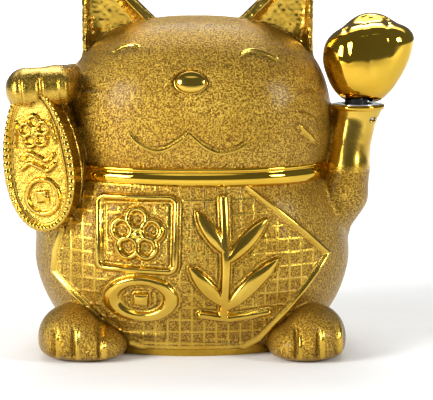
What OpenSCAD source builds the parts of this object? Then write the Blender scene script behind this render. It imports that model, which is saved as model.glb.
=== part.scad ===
// Beckoning cat figurine with a battery-driven rocking paw.
// Millimetres, +Z up. The origin is on the resting plane, below the middle of the body.
// The cat faces -Y. Its waving paw is on the +X side and its coin tablet on the -X side.

/* [Body] */
// Half width of the body at its widest level
body_rx = 51; // [49:0.5:54]
// Half depth of the body at its widest level
body_ry = 41; // [40:0.5:44]
// Height of the body's widest level
body_mid_z = 29; // [28:0.5:31]
// Wall of the moulded shells
wall = 2; // [1.6:0.1:2.2]
// Plane where the front and rear shells meet
seam_y = -4; // [-5:0.5:-3]

/* [Head] */
// Half width of the head
head_rx = 43.4; // [41:0.2:44]
// Half depth of the head
head_ry = 36; // [34:0.5:38]
// Height of the head's widest level
head_mid_z = 68.5; // [67:0.5:70]
// Height of the head above its widest level
head_up = 37; // [35:0.5:39]
// Height of the ear tips above the resting plane
ear_tip_z = 126; // [120:0.5:129]

/* [Waving paw] */
// Middle of the sleeve's mouth, left to right
sleeve_x = 53.1; // [52.8:0.1:53.6]
// Plane that the paw and its pendulum rock through
sleeve_y = -6; // [-6.5:0.25:-5.5]
// Height of the sleeve's rim
rim_z = 77.1; // [76.7:0.1:77.3]
// Outer radius of the sleeve's rim
rim_r = 8.5; // [8.3:0.1:8.7]
// Height of the paw's hinge pin
pivot_z = 75; // [74.6:0.1:75.2]

/* [Coin tablet] */
// Half width of the tablet halfway up
tablet_half_w = 11.6; // [11:0.1:12]
// Thickness of the tablet
tablet_t = 6.5; // [5.5:0.25:7]
// How far the tablet's face turns away from straight ahead, in degrees
tablet_turn = 20; // [15:1:22]

/* [Drive] */
// Diameter of the AA cell
cell_d = 14.2; // [14:0.1:14.4]
// Length of the AA cell, without its button
cell_l = 49.2; // [48.8:0.1:49.4]
// Outer diameter of the drive coil
coil_d = 11; // [9:0.25:11.4]
// Diameter of the pendulum magnet
magnet_d = 11; // [8:0.5:12]

/* [Hidden] */

fine = 48;
gap = 0.25;
gold = [0.83, 0.6, 0.15];
bright_gold = [0.9, 0.68, 0.2];
satin_gold = [0.76, 0.55, 0.16];
steel = [0.7, 0.7, 0.72];
nickel = [0.8, 0.8, 0.82];
copper = [0.72, 0.35, 0.15];
black = [0.15, 0.15, 0.16];
nylon = [0.95, 0.95, 0.92];

body_up = 49;
body_down = 43.2;
head_x = 1.8;
head_down = 30;
neck_z = 56.8;
collar_r = 3.1;
collar_rx = 42;
collar_ry = 34.8;

// Feet: for each, the middle and radii of its top, of its heel and of its inner lobe, and where
// the slits between its toes are.
feet = [
    [
        [[-37.8, -29.4, 6.6], [10.4, 14.2, 9.6]],
        [[-34, -20, 6], [12, 12, 8]],
        [[-30.6, -29.6, 4.4], [10.2, 13.4, 6.2]],
        [-42.8, -36.6, -28.6]
    ],
    [
        [[38.2, -29.4, 6.6], [9.8, 14.2, 9.8]],
        [[34.6, -20, 6], [12, 12, 8]],
        [[33, -29.6, 4.4], [9.2, 13.4, 7]],
        [32, 38.8, 44.8]
    ]
];
slit_w = 0.8;
slit_depth = 0.9;
slit_z = [1.6, 11];

// Ears: middles and radii of the balls at the base, and of the one at the tip.
ear_outer = [31.5, -2, 91];
ear_inner = [14, -1, 98];
ear_tip = [34, -2, ear_tip_z - 2.6];
ear_outer_r = [6, 9, 6];
ear_inner_r = [6, 9, 5.5];
ear_tip_r = [2.6, 2.8, 2.6];
// Scoop in the front of an ear, in the same form.
scoop = [
    [[29.4, -12, 98.5], [5.4, 6, 4.6]],
    [[20, -12, 103.6], [3.8, 6, 3]],
    [[33.2, -9, ear_tip_z - 7], [1.6, 5, 2]]
];

// Limbs: the middle and the radii of each joint, from the body outwards.
forearm = [
    [[44.5, -2.2, 40], [9.5, 15.6, 9]],
    [[48.4, sleeve_y, 50], [8.2, 12.2, 8]],
    [[49.6, sleeve_y, 57], [6.9, 10, 6]],
    [[50.3, sleeve_y, 65], [6.4, 8.4, 5]]
];
raised_arm = [
    [[-42, -4, 44], [10, 13, 11]],
    [[-44.5, -9, 62], [7.6, 9, 8]],
    [[-45.5, -12, 80], [7.6, 8, 6.6]]
];
// The paw over the tablet: its two ends, and the toes that stand out of it.
fist = [
    [[-52, -21.6, 83.4], [7.1, 9, 7.1]],
    [[-42.2, -19.2, 84.5], [6.2, 8.2, 6.2]]
];
fist_toes = [[-55.2, -25.6, 81.8], [-50.2, -26.4, 82.2], [-44.6, -25.6, 83]];
fist_toe_r = [3.5, 5, 5.4];
sleeve_wall = wall - 0.2;

tablet_middle = [-47.2, -26.4, 62.4];
tablet_half_h = 23;
tablet_tilt = 7.5;
tablet_narrow = 0.17;
tablet_backing = 5;
tablet_rim = 1.7;
tablet_sunk = 0.7;

shell_z = 3;
plate_t = 2.2;
plate_rx = body_rx * 0.735;
plate_ry = body_ry * 0.735;
boss_r = 3.2;
boss_top = 15;
boss_places = [[-17, -21], [14, -19], [-16, 22], [16, 22]];
screw_r = 1.1;
screw_head_r = 2.1;
screw_head_h = 1.4;
screw_z = 0.2;
screw_l = 11.5;
screw_clear = 0.05;

cell_x = -0.6;
cell_y = 8.7;
cell_floor = plate_t + 0.3;
cell_z = cell_floor + cell_d / 2;
tub_wall = 1.2;
tub_half_w = cell_d / 2 + 0.4 + tub_wall;
tub_x0 = cell_x - cell_l / 2 - 3.8;
tub_x1 = cell_x + cell_l / 2 + 3.2;
tub_top = cell_z + cell_d / 2 + 0.5 + tub_wall;
contact_t = 0.4;
contact_w = 10;
contact_h = 13;
contact_z = plate_t + 1;
positive_x = tub_x1 - tub_wall - 0.05 - contact_t;
negative_x = tub_x0 + tub_wall + 0.05;
door_half_w = cell_d / 2 + 0.35;
door_x0 = cell_x - cell_l / 2 - 1.2;
door_x1 = cell_x + cell_l / 2 + 1.6;
door_t = 1.5;
door_gap = 0.15;
door_axis_x = door_x1 - door_gap - door_t / 2;
door_axis_z = 0.1 + door_t / 2;
door_pin_r = 0.45;

coil_x = 26.5;
post_top = 10;
post_r = 3;
bobbin_flange_t = 0.8;
bobbin_h = 7.6;
bobbin_core_r = 2.6;

board_x = -8;
board_y = -9.5;
board_w = 26;
board_d = 13;
board_z = 9;
board_t = 1.2;
board_post_r = 1.6;
board_peg_r = 0.55;
board_posts = [[-10.5, -4], [10.5, -4], [-10.5, 4], [10.5, 4]];

// Leads between the contacts, the coil and the top of the board.
lead_r = 0.45;
lead_z = 5.2;
lead_end_z = board_z + board_t + lead_r + 0.07;
lead_side_y = cell_y - contact_w / 2 - 0.1;
positive_lead_x = positive_x - 0.1;
negative_lead_x = negative_x + contact_t + 0.1;
positive_points = [
    [positive_lead_x, lead_side_y, lead_z], [positive_lead_x, -1.2, lead_z], [24.4, -1.8, lead_z],
    [23, -1.8, 5], [12, -1.8, 5], [7.2, -3, 6.4], [6.6, -5.6, 9.8], [5.8, -7.8, 11.5],
    [3.8, -8.7, lead_end_z], [2.2, -8.9, lead_end_z]
];
negative_points = [
    [negative_lead_x, lead_side_y, lead_z], [negative_lead_x, -1.2, lead_z], [-27, -2.4, lead_z],
    [-25.6, -3.6, 6.4], [-23.4, -6.2, 9.8], [-22, -7.8, 11.5], [-19.8, -8.7, lead_end_z],
    [-18, -8.9, lead_end_z]
];
coil_start_points = [
    [22.1, -9.6, 13], [18.6, -12, 12.4], [13, -12.8, 12.2], [7.6, -12.8, 12],
    [4.8, -11.8, lead_end_z], [3.4, -11.2, lead_end_z]
];
coil_end_points = [
    [22.6, -10.4, 15.4], [18.6, -13.4, 14.4], [13, -14.4, 13.4], [7.6, -15, 12.4],
    [4.8, -15, lead_end_z], [3.6, -15, lead_end_z]
];

ring_seat_r = rim_r - 2;
ring_flange_r = rim_r - 0.95;
ring_bottom = rim_z - 4;
ring_top = rim_z + 0.6;
ring_bore_r = 4.9;
pin_r = 1;
pin_clear = 0.05;
neck_x = sleeve_x - 0.3;
neck_r = 3.7;
neck_bottom = pivot_z - 2.3;
// The paw's underside slopes up to the front and back, so that it clears the ring as it rocks.
paw_bottom = ring_top + 0.3;
paw_slope_h = 1.9;
paw_base_r = 7.5;
paw_floor_t = 3.6;
paw_x = sleeve_x - 0.7;
paw_wall = 1.5;
// Paw: groups of middles and radii, each hulled, relative to the hinge plane in y.
paw_palm = [
    [[51, -1, 93], [8.4, 10.5, 8]],
    [[61.6, -1, 94.5], [9.6, 11, 8.4]]
];
paw_back = [
    [[56.8, 2, 96.5], [9, 9.5, 9.5]],
    [[56, 0, 90], [10, 9, 8]]
];
paw_toe_r = [3.7, 5, 6.2];
paw_toes = [[47.1, -5.2, 96.2], [53.1, -5.2, 97], [59.1, -5.2, 97.6], [65.1, -5.2, 96.8]];
rod_r = 0.9;
rod_x = sleeve_x - 2.2;
magnet_h = 4;
magnet_z = post_top + bobbin_h + 2.4;
holder_h = 3.4;
rod_points = [
    [rod_x, sleeve_y, neck_bottom + 0.5], [rod_x, sleeve_y, 63], [49.8, sleeve_y, 54], [46, sleeve_y, 46],
    [35, sleeve_y, 40], [coil_x, sleeve_y, 35], [coil_x, sleeve_y, 27],
    [coil_x, sleeve_y, magnet_z + magnet_h + 1.25]
];

// Signed power, so that a superellipse keeps its quadrants.
function spow(v, e) = sign(v) * pow(abs(v), e);

// One level of an egg: a superellipse of exponent q in plan, shrunk by the profile of exponent p.
function egg_level(r, h, b, q, p, n) = [
    for (i = [0 : n - 1])
        let (a = 360 * i / n, c = pow(cos(b), 2 / p))
        [r[0] * c * spow(cos(a), 2 / q), r[1] * c * spow(sin(a), 2 / q), h * spow(sin(b), 2 / p)]
];

// Closed solid through rings of equal point counts, from the bottom up.
module loft(rings) {
    n = len(rings[0]);
    m = len(rings);
    polyhedron(
        points = [for (ring = rings) each ring],
        faces = [
            [for (i = [0 : n - 1]) i],
            for (k = [0 : m - 2], i = [0 : n - 1])
                let (j = (i + 1) % n)
                each [
                    [k * n + i, k * n + n + i, k * n + n + j],
                    [k * n + i, k * n + n + j, k * n + j]
                ],
            [for (i = [n - 1 : -1 : 0]) (m - 1) * n + i]
        ]
    );
}

// Rounded form with its own heights above and below its widest level.
module egg(c, r, up, down, q = 2, p_up = 2, p_down = 2, n = 44, steps = 7) {
    translate(c)
        hull()
            loft([
                for (k = [-steps : steps])
                    let (b = 88 * k / steps, low = k < 0)
                    egg_level(r, low ? down : up, b, q, low ? p_down : p_up, n)
            ]);
}

// Ellipsoid, coarse enough for a toe or a joint of a limb.
module blob(c, r, n = 16) {
    translate(c) scale(r) sphere(r = 1, $fn = n);
}

// Limb segment: the hull of two ellipsoids.
module limb(a, ra, b, rb, n = 18) {
    hull() {
        blob(a, ra, n);
        blob(b, rb, n);
    }
}

function shrunk(r, d) = r - [d, d, d];
function on_side(p, side) = [head_x + side * p[0], p[1], p[2]];

module body_form(d = 0) {
    egg([0, 0, body_mid_z], [body_rx - d, body_ry - d], body_up - d, body_down - d,
        q = 2.15, p_down = 1.8);
}

module head_form(d = 0) {
    egg([head_x, 0, head_mid_z], [head_rx - d, head_ry - d], head_up - d, head_down - d,
        q = 2.25, p_up = 2.6, p_down = 2.3);
}

// Ear on the given side, hollow inside when d is the wall.
module ear_form(side, d = 0) {
    hull() {
        blob(on_side(ear_outer, side), shrunk(ear_outer_r, d));
        blob(on_side(ear_inner, side), shrunk(ear_inner_r, d));
        if (d == 0)
            blob(on_side(ear_tip, side), ear_tip_r);
        else
            blob(on_side(ear_tip - [1.5, 0, 6], side), [1.4, 1.4, 1.4], 12);
    }
}

// Scooped front of an ear.
module ear_scoop(side) {
    hull()
        for (ball = scoop) blob(on_side(ball[0], side), ball[1], 20);
}

// Limb through a list of joints, each a middle and radii.
module limbs(joints, d) {
    for (i = [1 : len(joints) - 1])
        limb(joints[i - 1][0], shrunk(joints[i - 1][1], d), joints[i][0], shrunk(joints[i][1], d));
}

// Forearm that ends in the open sleeve below the waving paw.
module sleeve_form(d = 0) {
    wrist = forearm[len(forearm) - 1];
    limbs(forearm, d);
    hull() {
        blob(wrist[0], shrunk(wrist[1], d), 24);
        translate([sleeve_x, sleeve_y, rim_z - 1.4]) cylinder(r = rim_r - d, h = 1.4, $fn = fine);
    }
}

// Cat's right arm, raised behind the tablet, and the paw that laps over it.
module tablet_arm_form(d = 0) {
    limbs(raised_arm, d);
}

module fist_form(d = 0) {
    limbs(fist, d);
    limb(raised_arm[2][0], shrunk(raised_arm[2][1], d), fist[1][0], shrunk(fist[1][1], d));
}

module fist_toes_form() {
    for (toe = fist_toes)
        limb(toe, fist_toe_r, toe + [0.6, 3, 2.4], fist_toe_r, 14);
}

// Smooth mitten of a foot on a flat sole.
module foot_form(foot, d = 0) {
    hull() {
        for (i = [0 : 2]) blob(foot[i][0], shrunk(foot[i][1], d), 24);
        translate([foot[0][0][0], foot[0][0][1], shell_z / 2])
            cylinder(r = foot[0][1][0] - 0.6 - d, h = 2, $fn = 24);
    }
}

// Shallow slits between the toes.
module foot_slits(foot) {
    difference() {
        for (x = foot[3])
            translate([x - slit_w / 2, foot[0][0][1] - 20, slit_z[0]])
                cube([slit_w, 16, slit_z[1] - slit_z[0]]);
        foot_form(foot, slit_depth);
    }
}

// Diamond outline of the apron, seen from the front.
module apron_outline(inset = 0) {
    offset(delta = -inset)
        polygon([
            [-31, 56], [31, 56], [45, 30], [22, 6], [14, 2.5], [-14, 2.5], [-24, 6], [-46, 24], [-44, 33]
        ]);
}

// Apron as a raised skin on the belly.
module apron_skin() {
    intersection() {
        body_form(-0.7);
        translate([0, -5, 0]) rotate([90, 0, 0]) linear_extrude(60) apron_outline();
    }
}

// Collar: a closed ring of round section that follows the neck.
module collar(n = 48, m = 8) {
    points = [
        for (i = [0 : n - 1], k = [0 : m - 1])
            let (a = 360 * i / n, t = 360 * k / m, grow = collar_r * cos(t))
            [0.6 + (collar_rx + grow) * cos(a), (collar_ry + grow) * sin(a), neck_z + collar_r * sin(t)]
    ];
    polyhedron(
        points = points,
        faces = [
            for (i = [0 : n - 1], k = [0 : m - 1])
                let (j = (i + 1) % n, l = (k + 1) % m)
                [i * m + k, i * m + l, j * m + l, j * m + k]
        ]
    );
}

module outer_form() {
    body_form();
    head_form();
    collar();
    sleeve_form();
    tablet_arm_form();
    for (side = [-1, 1]) ear_form(side);
    for (foot = feet) foot_form(foot);
    fist_form();
    fist_toes_form();
    tablet_slab(-tablet_t / 2 - tablet_backing, tablet_backing + 1, 0);
    apron_skin();
    blob([-0.2, -head_ry + 0.4, 86.5], [5.4, 2.4, 3.8]);
}

module inner_form() {
    body_form(wall);
    head_form(wall);
    sleeve_form(sleeve_wall);
    tablet_arm_form(wall);
    fist_form(wall);
    for (side = [-1, 1]) ear_form(side, wall);
    for (foot = feet)
        intersection() {
            foot_form(foot, wall);
            translate([-70, -70, 2 * wall]) cube([140, 140, 30]);
        }
    translate([sleeve_x, sleeve_y, ring_bottom - 0.4])
        cylinder(r = ring_seat_r, h = 10, $fn = fine);
}

// Screw bosses that reach down to the base plate from a shell's wall.
module bosses(front) {
    for (p = boss_places)
        if ((p[1] < seam_y) == front)
            intersection() {
                translate([p[0], p[1], shell_z + 0.1]) cylinder(r = boss_r, h = boss_top, $fn = 24);
                body_form(wall / 2);
            }
}

module boss_webs(front) {
    for (p = boss_places)
        if ((p[1] < seam_y) == front)
            intersection() {
                translate([p[0] - 0.8, front ? p[1] - 25 : p[1], shell_z + 3])
                    cube([1.6, 25, boss_top - 4]);
                body_form(wall / 2);
            }
}

module shell(front) {
    difference() {
        union() {
            difference() {
                outer_form();
                inner_form();
            }
            bosses(front);
            boss_webs(front);
        }
        for (side = [-1, 1]) ear_scoop(side);
        for (foot = feet) foot_slits(foot);
        translate([-80, front ? seam_y : seam_y - 200, -1]) cube([160, 200, 160]);
        // The base plate takes the bottom of the body, and the feet stand in front of it.
        translate([0, 0, -30])
            linear_extrude(30 + shell_z) ellipse_outline(plate_rx + gap, plate_ry + gap);
        translate([-80, -80, -30]) cube([160, 160, 30]);
        for (p = boss_places)
            translate([p[0], p[1], 0])
                cylinder(r = screw_r + screw_clear, h = screw_z + screw_l + 0.5, $fn = 32);
        tablet_solid(0.05);
    }
}

function ellipse_points(rx, ry, n = 96) = [
    for (i = [0 : n - 1]) [rx * cos(360 * i / n), ry * sin(360 * i / n)]
];

module ellipse_outline(rx, ry) {
    polygon(ellipse_points(rx, ry));
}

// Tablet outline: a long oval that narrows towards the top.
function tablet_points(grow, n = 64) = [
    for (i = [0 : n - 1])
        let (a = 360 * i / n, w = tablet_half_w * (1 - tablet_narrow * sin(a)))
        [(w + grow) * cos(a), (tablet_half_h + grow) * sin(a)]
];

// Stands a flat outline up as a slab that faces the way the tablet does, from one depth on.
module tablet_slab(from, depth, grow) {
    translate(tablet_middle)
        rotate([0, 0, -tablet_turn])
            rotate([90, 0, 0])
                translate([0, 0, from])
                    rotate([0, 0, tablet_tilt])
                        linear_extrude(depth) polygon(tablet_points(grow));
}

module tablet_solid(grow = 0) {
    tablet_slab(-tablet_t / 2 - grow, tablet_t + 2 * grow, grow);
}

module coin_tablet() {
    color(bright_gold)
        difference() {
            tablet_solid();
            tablet_slab(tablet_t / 2 - tablet_sunk, 2, -tablet_rim);
        }
}

module front_shell() {
    color(gold) shell(true);
}

module rear_shell() {
    color(gold) shell(false);
}

module base_plate() {
    color(satin_gold)
        difference() {
            union() {
                linear_extrude(plate_t) ellipse_outline(plate_rx, plate_ry);
                // Edge band that fills the step up to the shells.
                difference() {
                    linear_extrude(shell_z - 0.1) ellipse_outline(plate_rx, plate_ry);
                    translate([0, 0, -1])
                        linear_extrude(shell_z + 2) ellipse_outline(plate_rx - 1.6, plate_ry - 1.6);
                }
                // Battery tub.
                translate([tub_x0, cell_y - tub_half_w, plate_t - 0.5])
                    cube([tub_x1 - tub_x0, 2 * tub_half_w, tub_top - plate_t + 0.5]);
                // Post for the coil.
                translate([coil_x, sleeve_y, plate_t - 0.5])
                    cylinder(r = post_r, h = post_top - plate_t + 0.5, $fn = fine);
                for (p = board_posts)
                    translate([board_x + p[0], board_y + p[1], plate_t - 0.5]) {
                        cylinder(r = board_post_r, h = board_z - plate_t + 0.5, $fn = 32);
                        cylinder(r = board_peg_r, h = board_z - plate_t + board_t + 0.9, $fn = 24);
                    }
            }
            // Room for the cell and its contacts.
            translate([tub_x0 + tub_wall, cell_y - tub_half_w + tub_wall, plate_t])
                cube([
                    tub_x1 - tub_x0 - 2 * tub_wall,
                    2 * (tub_half_w - tub_wall),
                    tub_top - tub_wall - plate_t
                ]);
            // Door opening.
            translate([door_x0, cell_y - door_half_w, -1])
                cube([door_x1 - door_x0, 2 * door_half_w, plate_t + 2]);
            // Notches for the leads in the tub's wall.
            for (x = [positive_lead_x, negative_lead_x])
                translate([x - 0.65, cell_y - tub_half_w - 1, lead_z - 0.65])
                    cube([1.3, tub_wall + 2, 1.3]);
            // Bore of the coil post.
            translate([coil_x, sleeve_y, 4]) cylinder(r = 0.9, h = post_top, $fn = 32);
            translate([door_axis_x, cell_y, door_axis_z])
                rotate([90, 0, 0])
                    cylinder(r = door_pin_r + pin_clear, h = 2 * door_half_w + 2, center = true, $fn = 32);
            for (p = boss_places) {
                translate([p[0], p[1], -1]) cylinder(r = screw_r + 0.2, h = plate_t + 2, $fn = 32);
                translate([p[0], p[1], -1])
                    cylinder(r = screw_head_r + 0.25, h = 1 + screw_z + screw_head_h, $fn = 32);
            }
        }
}

module base_screws() {
    color(steel)
        for (p = boss_places)
            translate([p[0], p[1], screw_z])
                difference() {
                    union() {
                        cylinder(r = screw_head_r, h = screw_head_h, $fn = 32);
                        cylinder(r = screw_r, h = screw_l, $fn = 32);
                    }
                    for (turn = [0, 90])
                        rotate([0, 0, turn])
                            translate([-1.3, -0.25, -1]) cube([2.6, 0.5, 1.7]);
                }
}

// Door over the cell: its far edge is round and turns on two small pins.
module battery_door() {
    color(satin_gold) {
        difference() {
            translate([door_x0 + door_gap, cell_y - door_half_w + door_gap, door_axis_z - door_t / 2])
                cube([door_axis_x - door_x0 - door_gap, 2 * (door_half_w - door_gap), door_t]);
            // Grip grooves.
            for (i = [0 : 4])
                translate([door_x0 + 5 + 1.6 * i, cell_y - 4, -0.4]) cube([0.7, 8, 0.9]);
        }
        translate([door_axis_x, cell_y, door_axis_z])
            rotate([90, 0, 0]) {
                cylinder(r = door_t / 2, h = 2 * (door_half_w - door_gap), center = true, $fn = 32);
                cylinder(r = door_pin_r, h = 2 * (door_half_w + 0.9), center = true, $fn = 32);
            }
    }
}

module battery_cell() {
    color([0.2, 0.2, 0.22])
        translate([cell_x - cell_l / 2, cell_y, cell_z])
            rotate([0, 90, 0]) {
                cylinder(d = cell_d, h = cell_l, $fn = fine);
                cylinder(d = 5.2, h = cell_l + 1.3, $fn = fine);
            }
}

module contact_plate(x) {
    translate([x, cell_y - contact_w / 2, contact_z]) cube([contact_t, contact_w, contact_h]);
}

module positive_contact() {
    color(nickel)
        difference() {
            contact_plate(positive_x);
            translate([positive_x - 1, cell_y - 1, contact_z + contact_h - 2.6]) cube([4, 2, 1.2]);
        }
}

// Battery spring: a back plate and a coil wound towards the cell.
module negative_spring() {
    turns = 3;
    steps = 12;
    wire_r = 0.3;
    start = negative_x + contact_t + wire_r - 0.05;
    length = cell_x - cell_l / 2 - wire_r - 0.05 - start;
    color(nickel) {
        contact_plate(negative_x);
        sweep([
            for (i = [0 : turns * steps])
                let (t = i / (turns * steps), a = 360 * i / steps, r = 4.2 - 1.2 * t)
                [start + length * t, cell_y + r * cos(a), cell_z + r * sin(a)]
        ], wire_r, 6, [1, 0, 0]);
    }
}

// Tube of n sides along points; each ring stands across the path's local direction.
function path_dir(pts, i) =
    let (m = len(pts), v = pts[min(i + 1, m - 1)] - pts[max(i - 1, 0)]) v / norm(v);
function tube_ring(c, d, r, n, up) =
    let (s = cross(d, up), u = s / norm(s), w = cross(d, u))
    [for (k = [0 : n - 1]) c + r * (cos(360 * k / n) * u + sin(360 * k / n) * w)];

module sweep(pts, r, n = 8, up = [0, 0, 1]) {
    loft([for (i = [0 : len(pts) - 1]) tube_ring(pts[i], path_dir(pts, i), r, n, up)]);
}

module circuit_board() {
    color([0.1, 0.4, 0.2])
        difference() {
            translate([board_x - board_w / 2, board_y - board_d / 2, board_z])
                cube([board_w, board_d, board_t]);
            for (p = board_posts)
                translate([board_x + p[0], board_y + p[1], board_z - 1])
                    cylinder(r = board_peg_r + 0.05, h = board_t + 2, $fn = 24);
        }
}

module board_components() {
    top = board_z + board_t;
    color(black) {
        translate([board_x - 2, board_y, top]) cylinder(r = 3.4, h = 1.8, $fn = fine);
        translate([board_x + 6, board_y - 1, top]) cylinder(r = 2, h = 6, $fn = fine);
        for (i = [0 : 2])
            translate([board_x + 3.2 + 2.4 * i, board_y + 3.6, top]) cube([1.2, 2, 0.7]);
    }
}

module coil_bobbin() {
    color(nylon)
        translate([coil_x, sleeve_y, post_top])
            difference() {
                union() {
                    cylinder(r = coil_d / 2 + 0.3, h = bobbin_flange_t, $fn = fine);
                    cylinder(r = bobbin_core_r, h = bobbin_h, $fn = fine);
                    translate([0, 0, bobbin_h - bobbin_flange_t])
                        cylinder(r = coil_d / 2 + 0.3, h = bobbin_flange_t, $fn = fine);
                }
                translate([0, 0, -1]) cylinder(r = 1.1, h = bobbin_h + 2, $fn = 32);
                translate([0, 0, bobbin_h - 1.2]) cylinder(r = 2, h = 2, $fn = 32);
            }
}

module drive_coil() {
    color(copper)
        translate([coil_x, sleeve_y, post_top + bobbin_flange_t + 0.05])
            difference() {
                cylinder(r = coil_d / 2, h = bobbin_h - 2 * bobbin_flange_t - 0.1, $fn = fine);
                translate([0, 0, -1]) cylinder(r = bobbin_core_r + 0.05, h = bobbin_h, $fn = fine);
            }
}

module bobbin_screw() {
    color(steel)
        translate([coil_x, sleeve_y, post_top + bobbin_h - 1.2]) {
            cylinder(r = 1.8, h = 1, $fn = 32);
            translate([0, 0, -10.5]) cylinder(r = 0.85, h = 11, $fn = 32);
        }
}

function bezier_mid(a, b, c, t) = (1 - t) * (1 - t) * a + 2 * t * (1 - t) * b + t * t * c;
function smooth_path(p, k = 4) = [
    p[0],
    for (i = [1 : len(p) - 2], j = [0 : k])
        bezier_mid((p[i - 1] + p[i]) / 2, p[i], (p[i] + p[i + 1]) / 2, j / k),
    p[len(p) - 1]
];
function no_repeats(p) = [
    for (i = [0 : len(p) - 1]) if (i == 0 || norm(p[i] - p[i - 1]) > 0.05) p[i]
];

module lead(points, tint) {
    color(tint) sweep(no_repeats(smooth_path(points)), lead_r, 8);
}

module positive_lead() { lead(positive_points, [0.8, 0.1, 0.1]); }
module negative_lead() { lead(negative_points, black); }
module coil_leads() {
    lead(coil_start_points, copper);
    lead(coil_end_points, copper);
}

// Silver ring in the sleeve's mouth. The hinge pin crosses its barrel.
module pivot_ring() {
    color([0.85, 0.85, 0.87])
        translate([sleeve_x, sleeve_y, 0])
            difference() {
                union() {
                    translate([0, 0, ring_bottom])
                        cylinder(r = ring_seat_r - 0.05, h = ring_top - ring_bottom, $fn = fine);
                    translate([0, 0, rim_z])
                        cylinder(r = ring_flange_r, h = ring_top - rim_z, $fn = fine);
                }
                translate([0, 0, ring_bottom - 1]) cylinder(r = ring_bore_r, h = 10, $fn = fine);
                translate([0, 0, pivot_z])
                    rotate([0, 90, 0]) cylinder(r = pin_r, h = 30, center = true, $fn = 32);
            }
}

module pivot_pin() {
    length = 2 * (ring_seat_r - 0.25);
    color(steel)
        translate([sleeve_x, sleeve_y, pivot_z])
            rotate([0, 90, 0]) cylinder(r = pin_r, h = length, center = true, $fn = 32);
}

// Mitten form of the waving paw.
module paw_form(d = 0) {
    hull() {
        translate([paw_x, sleeve_y, paw_bottom]) {
            scale([1, 0.1, 1]) cylinder(r = paw_base_r - d, h = 0.5, $fn = 32);
            translate([0, 0, paw_slope_h]) cylinder(r = paw_base_r + 0.3 - d, h = 2, $fn = 32);
        }
        paw_balls(paw_palm, d);
    }
    hull() paw_balls(paw_back, d);
    if (d == 0)
        for (toe = paw_toes)
            translate([0, sleeve_y, 0]) blob(toe, paw_toe_r, 20);
}

module paw_balls(balls, d) {
    for (ball = balls)
        translate([0, sleeve_y, 0]) blob(ball[0], shrunk(ball[1], d), 28);
}

module paw_shell() {
    color(bright_gold)
        difference() {
            paw_form();
            difference() {
                paw_form(paw_wall);
                // Closed bottom round the insert's plug.
                translate([paw_x, sleeve_y, paw_bottom - 5])
                    cylinder(r = 12, h = 5 + paw_floor_t, $fn = 32);
            }
            translate([neck_x, sleeve_y, paw_bottom - 1])
                cylinder(r = neck_r + 0.05, h = paw_floor_t + 4, $fn = 32);
        }
}

// Plastic neck with the hinge bore. It plugs into the paw and grips the rod.
module paw_insert() {
    color(black)
        difference() {
            union() {
                translate([neck_x, sleeve_y, neck_bottom])
                    cylinder(r = neck_r, h = paw_bottom + paw_floor_t + 2 - neck_bottom, $fn = fine);
                translate([neck_x, sleeve_y, paw_bottom + paw_floor_t + 0.05])
                    cylinder(r = neck_r + 1.2, h = 1.2, $fn = fine);
            }
            translate([sleeve_x, sleeve_y, pivot_z])
                rotate([0, 90, 0]) cylinder(r = pin_r + pin_clear, h = 30, center = true, $fn = 32);
            translate([rod_x, sleeve_y, neck_bottom - 1]) cylinder(r = rod_r + 0.03, h = 1.6, $fn = 32);
        }
}

// Cranked wire that carries the magnet over the coil.
module pendulum_rod() {
    color(steel) sweep(no_repeats(smooth_path(rod_points)), rod_r, 12, [0, 1, 0]);
}

module magnet_holder() {
    color(black)
        translate([coil_x, sleeve_y, magnet_z])
            difference() {
                cylinder(r = magnet_d / 2 + 1, h = magnet_h + holder_h, $fn = fine);
                translate([0, 0, -1]) cylinder(r = magnet_d / 2, h = magnet_h + 1, $fn = fine);
                translate([0, 0, magnet_h + 1.2]) cylinder(r = rod_r + 0.03, h = 10, $fn = 32);
            }
}

module pendulum_magnet() {
    color([0.6, 0.6, 0.63])
        translate([coil_x, sleeve_y, magnet_z]) cylinder(r = magnet_d / 2, h = magnet_h, $fn = fine);
}

front_shell();
rear_shell();
coin_tablet();
base_plate();
base_screws();
battery_door();
battery_cell();
positive_contact();
negative_spring();
circuit_board();
board_components();
coil_bobbin();
drive_coil();
bobbin_screw();
positive_lead();
negative_lead();
coil_leads();
pivot_ring();
pivot_pin();
paw_shell();
paw_insert();
pendulum_rod();
magnet_holder();
pendulum_magnet();
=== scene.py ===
"""Beckoning cat figurine: moulded skins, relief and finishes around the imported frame."""

import math

import bmesh
import bpy
import numpy as np
import openvdb
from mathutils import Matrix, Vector
from mathutils.geometry import delaunay_2d_cdt


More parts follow.
